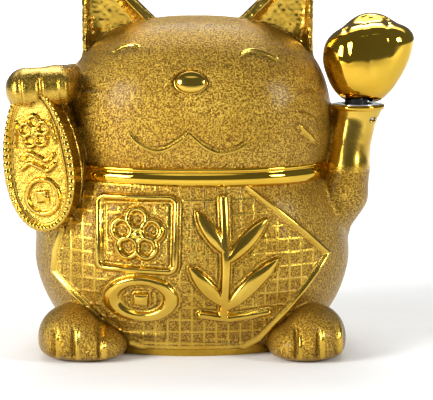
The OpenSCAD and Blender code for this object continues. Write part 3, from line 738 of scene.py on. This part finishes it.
def build_moulding():
    """The whole moulding, finer outside and finest where there is relief."""
    low = np.array([-63, -50, -3.0])
    high = np.array([66, 45, EAR_TIP_Z + 4])
    points, faces = mesh_field(shell_field, low, high, VOXEL)
    outside = cat_field(face_middles(points, faces[0])) > -0.9
    points, faces = refine(points, faces, outside)
    mid = face_middles(points, faces[0])
    size = np.abs(points[faces[0][:, 0]] - points[faces[0][:, 2]]).max(1)
    small = size < 0.85 * VOXEL
    outside = cat_field(mid) > -0.7
    x, y, z = mid[:, 0], mid[:, 1], mid[:, 2]
    apron = (outline(x, z, APRON) < 1.2) & (y < -18) & (z < NECK_Z) & (z > 1)
    face = (y < -14) & (z > 62) & (z < 100) & (np.abs(x) < 42)
    toes = (y < -33) & (z < 12) & (np.abs(x) > 20)
    ears = (y < 1) & (z > 95) & (np.abs(x - HEAD["c"][0]) > 8)
    fist = (x < -34) & (z > 75) & (y < -10)
    points, faces = refine(points, faces, small & outside & (apron | face | toes | ears | fist))
    return relief_mesh("moulding", points, faces, shell_field, moulding_relief)


# A cap's triangle may reach this far out of the solid, and each half stops this short of the seam.
CAP_TOLERANCE = 0.12
SEAM_GAP = 0.07


def cap(bm, at):
    """Closes the open edge in the plane y = at with flat triangles wherever the moulding is solid."""
    rim = [e for e in bm.edges if e.is_boundary]
    verts = list({v: None for e in rim for v in e.verts})
    index = {v: i for i, v in enumerate(verts)}
    edges = [(index[e.verts[0]], index[e.verts[1]]) for e in rim]
    flat = [Vector((v.co.x, v.co.z)) for v in verts]
    places, _, triangles, source, _, _ = delaunay_2d_cdt(flat, edges, [], 0, 1e-8)
    owned = [verts[o[0]] if o else bm.verts.new((v.x, at, v.y)) for v, o in zip(places, source)]
    flat = np.array([(v.x, at, v.y) for v in places]) / MM
    middles = flat[np.array(triangles)].mean(1).astype(np.float32)
    for triangle, depth in zip(triangles, shell_field(middles)):
        corners = [owned[i] for i in triangle]
        if depth < CAP_TOLERANCE and len(set(corners)) == 3 and not bm.faces.get(corners):
            bm.faces.new(corners).smooth = False


def halve(obj, name, front):
    """One side of the moulding, with a flat edge at the parting line."""
    bm = bmesh.new()
    bm.from_mesh(obj.data)
    at = (SEAM_Y + (-SEAM_GAP if front else SEAM_GAP)) * MM
    bmesh.ops.bisect_plane(
        bm, geom=bm.verts[:] + bm.edges[:] + bm.faces[:], dist=1e-7,
        plane_co=(0, at, 0), plane_no=(0, 1 if front else -1, 0), clear_outer=True,
    )
    cap(bm, at)
    bmesh.ops.recalc_face_normals(bm, faces=bm.faces[:])
    mesh = bpy.data.meshes.new(name)
    bm.to_mesh(mesh)
    bm.free()
    return link_mesh(name, mesh)


def closed_ring(name, sections):
    """Closed ring through sections that each hold the same number of points, in millimetres."""
    bm = bmesh.new()
    rings = [[bm.verts.new([v * MM for v in point]) for point in section] for section in sections]
    count = len(rings[0])
    for i, a in enumerate(rings):
        b = rings[(i + 1) % len(rings)]
        for k in range(count):
            after = (k + 1) % count
            bm.faces.new((a[k], b[k], b[after], a[after]))
    bmesh.ops.recalc_face_normals(bm, faces=bm.faces[:])
    mesh = bpy.data.meshes.new(name)
    bm.to_mesh(mesh)
    bm.free()
    mesh.shade_smooth()
    obj = link_mesh(name, mesh)
    add_subdivision(obj, 1)
    return obj


def turns(steps):
    """Angles of a full turn in even steps."""
    return [2 * math.pi * i / steps for i in range(steps)]


def build_lip():
    """Rolled lip of the sleeve's mouth; profile points are (radius, z) from the mouth's rim."""
    profile = [
        (-1.3, -0.1), (-1.25, -1.2), (-0.2, -1.5), (0.35, -0.9), (0.45, -0.1), (0.1, 0.35), (-0.6, 0.4),
    ]
    return closed_ring("sleeve_lip", [
        [
            (SLEEVE_X + (RIM_R + r) * math.cos(a), SLEEVE_Y + (RIM_R + r) * math.sin(a), RIM_Z + z)
            for r, z in profile
        ]
        for a in turns(96)
    ])


COLLAR_X, COLLAR_RX, COLLAR_RY = 0.9, 42.0, 34.6


def build_collar():
    """Glossy band round the neck with a fine bead along its top."""
    profile = [
        (-1.0, -3.0), (0.3, -3.1), (1.3, -2.7), (2.1, -1.7), (2.4, -0.4), (2.2, 0.9), (1.6, 1.6), (1.5, 1.9),
        (1.9, 2.2), (2.1, 2.7), (1.8, 3.2), (1.0, 3.4), (-1.0, 3.3),
    ]
    bulge = 2 / BODY["q"]
    sections = []
    for a in turns(160):
        cx = math.copysign(abs(math.cos(a)) ** bulge, math.cos(a))
        cy = math.copysign(abs(math.sin(a)) ** bulge, math.sin(a))
        sections.append([
            (COLLAR_X + (COLLAR_RX + r) * cx, (COLLAR_RY + r) * cy, NECK_Z + z) for r, z in profile
        ])
    return closed_ring("collar_band", sections)


def add_subdivision(obj, levels):
    """Subdivision surface of the same level in view and render."""
    mod = obj.modifiers.new("smooth", "SUBSURF")
    mod.levels = levels
    mod.render_levels = levels


PAW_BOTTOM = node_box("paw_shell")[0][2]
PAW_WALL, PAW_ROUND = 1.5, 2.3
BORE_X, BORE_R, BORE_DEPTH = node_middle("paw_insert")[0], 3.95, 8.0
# Sections of the paw: height, middle, half width and half depth.
PAW_SECTIONS = [
    (PAW_BOTTOM - 2.0, 52.6, 5.6, 3.6), (PAW_BOTTOM, 53.0, 6.6, 4.8), (80.2, 54.0, 8.4, 7.2),
    (83.7, 54.8, 10.6, 9.4), (90.5, 55.5, 13.6, 11.0), (96.8, 56.2, 14.7, 10.8), (104.0, 56.6, 15.0, 10.0),
    (110.0, 56.8, 15.2, 9.6),
]
# Slope of the underside to the front and rear, just steeper than the paw's largest tilt.
PAW_RISE = 0.257


def paw_field(p):
    """Mitten with a round back; its underside rises to the front and rear so that it can rock."""
    z = p[:, 2]
    mid, wide, deep = (
        np.interp(z, *curve_points([(section[0], section[i]) for section in PAW_SECTIONS]).T)
        for i in (1, 2, 3)
    )
    out = p[:, 1] - SLEEVE_Y + 0.6
    across = np.abs((p[:, 0] - mid) / wide) ** PAW_ROUND
    reach = (across + np.abs(out / deep) ** PAW_ROUND) ** (1 / PAW_ROUND)
    side = (reach - 1) * np.minimum(wide, deep)
    mitten = cut(side, blob(p, (58.6, SLEEVE_Y, 90.6), (18.4, 16, 13.9)), 2.5)
    back = blob(p, (57.6, SLEEVE_Y + 2.6, 96.2), (10.6, 8.4, 10.4))
    under = PAW_BOTTOM + 0.1 + PAW_RISE * np.abs(p[:, 1] - SLEEVE_Y) - z
    return cut(join(mitten, back, 1.2), under, 0.4).astype(np.float32)


def paw_shell_field(p):
    """Wall of the hollow paw, open where the neck plugs in."""
    bore = np.hypot(p[:, 0] - BORE_X, p[:, 1] - SLEEVE_Y) - BORE_R
    bore = np.maximum(bore, p[:, 2] - PAW_BOTTOM - BORE_DEPTH)
    outer = paw_field(p)
    return cut(cut(outer, -(outer + PAW_WALL), 0.3), -bore, 0.3)


# Folds between the paw's toes: place from left to right, and the height where each begins.
PAW_FOLDS = ((49.0, 88), (55.4, 84), (62.6, 92))


def paw_relief(p, n):
    """Faint folds between the folded toes."""
    h = np.zeros(len(p))
    front = (n[:, 1] < -0.2) & (p[:, 1] < SLEEVE_Y)
    for x, low in PAW_FOLDS:
        fade = smooth(p[:, 2], low, low + 9)
        h += np.where(front, -0.3 * bell(p[:, 0] + 0.06 * (p[:, 2] - 98), x, 1.0) * fade, 0)
    h += 0.05 * lumps(p, 5.0)
    return h, np.ones(len(p))


def build_paw():
    """Glossy hollow paw, finer outside than inside."""
    low = np.array([38, -22, PAW_BOTTOM - 3])
    high = np.array([76, 14, 112])
    points, faces = mesh_field(paw_shell_field, low, high, PAW_VOXEL)
    outside = paw_field(face_middles(points, faces[0])) > -0.5
    points, faces = refine(points, faces, outside)
    return relief_mesh("paw_skin", points, faces, paw_shell_field, paw_relief)


def build_tablet():
    """Coin tablet, finest on its ornamented face."""
    reach = np.array([16, 10, 24])
    low, high = TABLET_MIDDLE - reach, TABLET_MIDDLE + reach
    points, faces = mesh_field(tablet_field, low, high, TABLET_VOXEL)
    points, faces = refine(points, faces, np.ones(len(faces[0]), bool))
    out = tablet_local(face_middles(points, faces[0]))[1]
    points, faces = refine(points, faces, out > TABLET_T / 2 - 1.6)
    return relief_mesh("tablet_skin", points, faces, tablet_field, tablet_relief)


# ---------------------------------------------------------------- finishes

def new_material(name):
    """Material with one Principled shader, its node and link lists, and the shader."""
    mat = bpy.data.materials.new(name)
    mat.use_nodes = True
    nodes = mat.node_tree.nodes
    nodes.clear()
    out = nodes.new("ShaderNodeOutputMaterial")
    shader = nodes.new("ShaderNodeBsdfPrincipled")
    mat.node_tree.links.new(shader.outputs[0], out.inputs["Surface"])
    return mat, nodes, mat.node_tree.links, shader


def noise(nodes, links, coord, scale, detail=3.0, roughness=0.5):
    n = nodes.new("ShaderNodeTexNoise")
    n.inputs["Scale"].default_value = scale
    n.inputs["Detail"].default_value = detail
    n.inputs["Roughness"].default_value = roughness
    links.new(coord, n.inputs["Vector"])
    return n


def span(nodes, links, value, from_low, from_high, to_low, to_high):
    n = nodes.new("ShaderNodeMapRange")
    n.inputs["From Min"].default_value = from_low
    n.inputs["From Max"].default_value = from_high
    n.inputs["To Min"].default_value = to_low
    n.inputs["To Max"].default_value = to_high
    links.new(value, n.inputs["Value"])
    return n.outputs["Result"]


def mix_colours(nodes, links, factor, a, b):
    n = nodes.new("ShaderNodeMix")
    n.data_type = "RGBA"
    for socket, colour in ((n.inputs[6], a), (n.inputs[7], b)):
        if isinstance(colour, tuple):
            socket.default_value = (*colour, 1)
        else:
            links.new(colour, socket)
    links.new(factor, n.inputs[0])
    return n.outputs[2]


def math_node(nodes, links, operation, a, b):
    n = nodes.new("ShaderNodeMath")
    n.operation = operation
    for socket, value in zip(n.inputs, (a, b)):
        if isinstance(value, (int, float)):
            socket.default_value = value
        else:
            links.new(value, socket)
    return n.outputs[0]


def bump(nodes, links, height, strength, distance, normal=None):
    n = nodes.new("ShaderNodeBump")
    n.inputs["Strength"].default_value = strength
    n.inputs["Distance"].default_value = distance
    links.new(height, n.inputs["Height"])
    if normal is not None:
        links.new(normal, n.inputs["Normal"])
    return n.outputs["Normal"]


GOLD = (0.68, 0.45, 0.068)
# The darkest gold is painted shade in the pits of the frosted grain.
PIT_SHADE_GOLD = (0.19, 0.09, 0.012)
DEEP_GOLD = (0.56, 0.34, 0.036)
MIRROR_GOLD, MIRROR_AMBER = (0.72, 0.46, 0.05), (0.62, 0.36, 0.032)


def frosted_gold():
    """Metallised gold over a sandblasted moulding, with painted shade in the grain's pits; polish comes from
    the mesh.
    """
    mat, nodes, links, shader = new_material("gold_frosted")
    coord = nodes.new("ShaderNodeTexCoord").outputs["Object"]
    polish = nodes.new("ShaderNodeAttribute")
    polish.attribute_name = "polish"
    matt = math_node(nodes, links, "SUBTRACT", 1.0, polish.outputs["Fac"])
    rubbed = span(nodes, links, polish.outputs["Fac"], 0.1, 0.6, 1.0, 0.0)
    grain = noise(nodes, links, coord, 1900, 2.0, 0.7)
    patch = noise(nodes, links, coord, 60, 3.0, 0.5)
    tint = span(nodes, links, patch.outputs["Fac"], 0.35, 0.65, 0.0, 1.0)
    base = mix_colours(nodes, links, tint, GOLD, DEEP_GOLD)
    # Painted shade: where the grain dips, the base colour darkens towards brown, less where the metal is
    # polished.
    painted_pit_shade = span(nodes, links, grain.outputs["Fac"], 0.58, 0.44, 0.0, 1.0)
    painted_pit_shade = math_node(nodes, links, "MULTIPLY", painted_pit_shade, rubbed)
    links.new(mix_colours(nodes, links, painted_pit_shade, base, PIT_SHADE_GOLD), shader.inputs["Base Color"])
    rough = math_node(nodes, links, "MULTIPLY", matt, 0.24)
    uneven = span(nodes, links, grain.outputs["Fac"], 0.3, 0.7, 0.07, 0.17)
    links.new(math_node(nodes, links, "ADD", rough, uneven), shader.inputs["Roughness"])
    sparkle = math_node(nodes, links, "MULTIPLY", grain.outputs["Fac"], rubbed)
    fine = bump(nodes, links, sparkle, 1.0, 0.0005)
    ripple = noise(nodes, links, coord, 240, 2.0, 0.5)
    links.new(bump(nodes, links, ripple.outputs["Fac"], 0.25, 0.0002, fine), shader.inputs["Normal"])
    shader.inputs["Metallic"].default_value = 1.0
    shader.inputs["Coat Weight"].default_value = 0.15
    shader.inputs["Coat Roughness"].default_value = 0.25
    return mat


def polished_gold(name, ripple_strength=0.12):
    """Mirror-bright gold with slow waves and faint wear."""
    mat, nodes, links, shader = new_material(name)
    coord = nodes.new("ShaderNodeTexCoord").outputs["Object"]
    patch = noise(nodes, links, coord, 45, 3.0, 0.5)
    tint = span(nodes, links, patch.outputs["Fac"], 0.35, 0.65, 0.0, 1.0)
    colour = mix_colours(nodes, links, tint, MIRROR_GOLD, MIRROR_AMBER)
    links.new(colour, shader.inputs["Base Color"])
    wear = noise(nodes, links, coord, 400, 4.0, 0.6)
    links.new(span(nodes, links, wear.outputs["Fac"], 0.35, 0.75, 0.04, 0.12), shader.inputs["Roughness"])
    wave = noise(nodes, links, coord, 110, 1.5, 0.5)
    links.new(bump(nodes, links, wave.outputs["Fac"], ripple_strength, 0.0003), shader.inputs["Normal"])
    shader.inputs["Metallic"].default_value = 1.0
    return mat


def plain_metal(name, colour, rough=(0.15, 0.3), scale=500.0):
    """Finely mottled metal."""
    mat, nodes, links, shader = new_material(name)
    coord = nodes.new("ShaderNodeTexCoord").outputs["Object"]
    n = noise(nodes, links, coord, scale, 4.0, 0.6)
    darker = tuple(c * 0.82 for c in colour)
    fac = span(nodes, links, n.outputs["Fac"], 0.3, 0.7, 0.0, 1.0)
    links.new(mix_colours(nodes, links, fac, colour, darker), shader.inputs["Base Color"])
    links.new(span(nodes, links, n.outputs["Fac"], 0.3, 0.7, *rough), shader.inputs["Roughness"])
    links.new(bump(nodes, links, n.outputs["Fac"], 0.12, 0.0001), shader.inputs["Normal"])
    shader.inputs["Metallic"].default_value = 1.0
    return mat


def plastic(name, colour, rough=(0.35, 0.5), scale=900.0, shade=0.8):
    """Moulded plastic, lacquer or paper; its darker spots have the given share of the colour."""
    mat, nodes, links, shader = new_material(name)
    coord = nodes.new("ShaderNodeTexCoord").outputs["Object"]
    n = noise(nodes, links, coord, scale, 3.0, 0.6)
    darker = tuple(c * shade for c in colour)
    fac = span(nodes, links, n.outputs["Fac"], 0.35, 0.65, 0.0, 1.0)
    links.new(mix_colours(nodes, links, fac, colour, darker), shader.inputs["Base Color"])
    links.new(span(nodes, links, n.outputs["Fac"], 0.3, 0.7, *rough), shader.inputs["Roughness"])
    links.new(bump(nodes, links, n.outputs["Fac"], 0.2, 0.0001), shader.inputs["Normal"])
    return mat


def dress(obj, mat):
    obj.data.materials.clear()
    obj.data.materials.append(mat)


# ---------------------------------------------------------------- assembly

frost = frosted_gold()
mirror_gold = polished_gold("gold_mirror")
band_gold = polished_gold("gold_band", 0.3)

moulding = build_moulding()
front = halve(moulding, "front_skin", True)
rear = halve(moulding, "rear_skin", False)
bpy.data.objects.remove(moulding)
for skin, cad in ((front, "front_shell"), (rear, "rear_shell")):
    dress(skin, frost)
    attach(skin, "housing")
    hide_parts(cad)

collar = build_collar()
dress(collar, band_gold)
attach(collar, "housing")

lip = build_lip()
dress(lip, band_gold)
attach(lip, "housing")

tablet = build_tablet()
dress(tablet, frost)
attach(tablet, "housing")
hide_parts("coin_tablet")

paw = build_paw()
dress(paw, mirror_gold)
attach(paw, "paw")
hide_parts("paw_shell")

steel = plain_metal("steel_zinc", (0.62, 0.63, 0.66))
CAD_FINISHES = {
    "base_plate": plain_metal("gold_satin", DEEP_GOLD, (0.25, 0.4)),
    "battery_door": plain_metal("gold_satin_door", DEEP_GOLD, (0.25, 0.38)),
    "base_screws": steel,
    "bobbin_screw": steel,
    "pivot_pin": steel,
    "pendulum_rod": steel,
    "pivot_ring": plain_metal("silver_plate", (0.86, 0.87, 0.9), (0.04, 0.12)),
    "battery_cell": plain_metal("cell_sleeve", (0.08, 0.08, 0.09), (0.25, 0.4)),
    "positive_contact": plain_metal("nickel", (0.72, 0.7, 0.66)),
    "negative_spring": plain_metal("nickel_spring", (0.72, 0.7, 0.66)),
    "pendulum_magnet": plain_metal("magnet_nickel", (0.55, 0.55, 0.57)),
    "drive_coil": plain_metal("enamelled_copper", (0.62, 0.26, 0.09), (0.2, 0.35)),
    "coil_leads": plain_metal("lead_copper", (0.62, 0.26, 0.09), (0.2, 0.35)),
    "circuit_board": plastic("solder_mask", (0.03, 0.2, 0.07)),
    "board_components": plastic("black_epoxy", (0.02, 0.02, 0.022)),
    "magnet_holder": plastic("black_holder", (0.025, 0.025, 0.027)),
    "coil_bobbin": plastic("white_nylon", (0.85, 0.84, 0.78)),
    # The insert is near-black so that the gap under the paw reads as a dark line: painted shade.
    "paw_insert": plastic("insert_nylon_gap_shade", (0.03, 0.03, 0.03)),
    "positive_lead": plastic("red_sleeving", (0.6, 0.03, 0.03)),
    "negative_lead": plastic("black_sleeving", (0.02, 0.02, 0.02)),
}
for name, finish in CAD_FINISHES.items():
    dress(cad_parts[name], finish)
# Rounding of the visible CAD edges, in millimetres.
EDGE_WIDTH = 0.2
for name in ("base_plate", "battery_door", "pivot_ring"):
    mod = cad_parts[name].modifiers.new("soft_edges", "BEVEL")
    mod.width = EDGE_WIDTH * MM
    mod.segments = 2
    mod.limit_method = "ANGLE"


# ---------------------------------------------------------------- room, light and camera

def area_light(name, place, target, size, power, spread=180):
    """Soft box at place that faces target; size in metres, power in watts, spread in degrees."""
    data = bpy.data.lights.new(name, "AREA")
    data.shape = "RECTANGLE"
    data.size, data.size_y = size
    data.energy = power
    data.spread = math.radians(spread)
    obj = bpy.data.objects.new(name, data)
    obj.location = place
    obj.rotation_euler = (Vector(target) - Vector(place)).to_track_quat("-Z", "Y").to_euler()
    bpy.context.scene.collection.objects.link(obj)
    return obj


# The floor reaches FLOOR_HALF from the middle each way, and rises behind in a quarter circle.
FLOOR_HALF, FLOOR_BEND, FLOOR_STEPS = 3.0, 0.6, 12


def build_floor():
    """Plain paper floor, wide enough for the camera to stand on."""
    rows = [(-FLOOR_HALF, 0.0), (FLOOR_HALF, 0.0)]
    for i in range(1, FLOOR_STEPS + 1):
        a = math.pi / 2 * i / FLOOR_STEPS
        rows.append((FLOOR_HALF + FLOOR_BEND * math.sin(a), FLOOR_BEND * (1 - math.cos(a))))
    bm = bmesh.new()
    verts = [[bm.verts.new((x, y, z)) for x in (-FLOOR_HALF, FLOOR_HALF)] for y, z in rows]
    for a, b in zip(verts, verts[1:]):
        bm.faces.new((a[0], a[1], b[1], b[0]))
    mesh = bpy.data.meshes.new("floor")
    bm.to_mesh(mesh)
    bm.free()
    mesh.shade_smooth()
    floor = link_mesh("floor", mesh)
    dress(floor, plastic("paper_sweep", (0.93, 0.93, 0.93), (0.6, 0.7), 30.0, 0.97))


# A long lens from slightly above the figurine's face, in metres and degrees.
VIEW_TARGET, VIEW_DISTANCE, VIEW_RISE = Vector((0, 0, 0.060)), 0.7, 6.5
LENS_MM, SENSOR_MM = 179.073, 36.0
SHIFT_X, SHIFT_Y = 0.05658, -0.10231


def build_camera():
    """Main camera, shifted so that the figurine stands left of and above the picture's middle."""
    data = bpy.data.cameras.new("camera")
    obj = bpy.data.objects.new("camera", data)
    rise = math.radians(VIEW_RISE)
    obj.location = VIEW_TARGET + VIEW_DISTANCE * Vector((0, -math.cos(rise), math.sin(rise)))
    obj.rotation_euler = (math.pi / 2 - rise, 0, 0)
    data.sensor_width = SENSOR_MM
    data.lens = LENS_MM
    data.shift_x, data.shift_y = SHIFT_X, SHIFT_Y
    bpy.context.scene.collection.objects.link(obj)
    bpy.context.scene.camera = obj


def build_world():
    """Dim, slightly green surroundings."""
    world = bpy.data.worlds.new("studio")
    world.use_nodes = True
    background = world.node_tree.nodes["Background"]
    background.inputs["Color"].default_value = (0.94, 1.0, 0.98, 1)
    background.inputs["Strength"].default_value = 0.15
    bpy.context.scene.world = world
    bpy.context.scene.view_settings.view_transform = "Standard"


build_floor()
build_camera()
build_world()
# Key from the left, fill from the right, a rim from behind, and two boxes that whiten the floor.
area_light("key", (-0.8, -0.55, 0.4), (0, 0, 0.06), (0.4, 0.4), 12)
area_light("fill", (0.9, -0.5, 0.42), (0, 0, 0.06), (0.24, 0.28), 6)
area_light("top", (0.0, 1.2, 1.3), (0, 0, 0.0), (0.7, 0.35), 6)
area_light("table", (0.0, -0.2, 0.3), (0, -0.19, 0.0), (0.3, 0.1), 0.12, 70)
area_light("back", (0.0, 1.6, 1.1), (0, 1.61, 0.0), (3.0, 2.2), 50, 110)
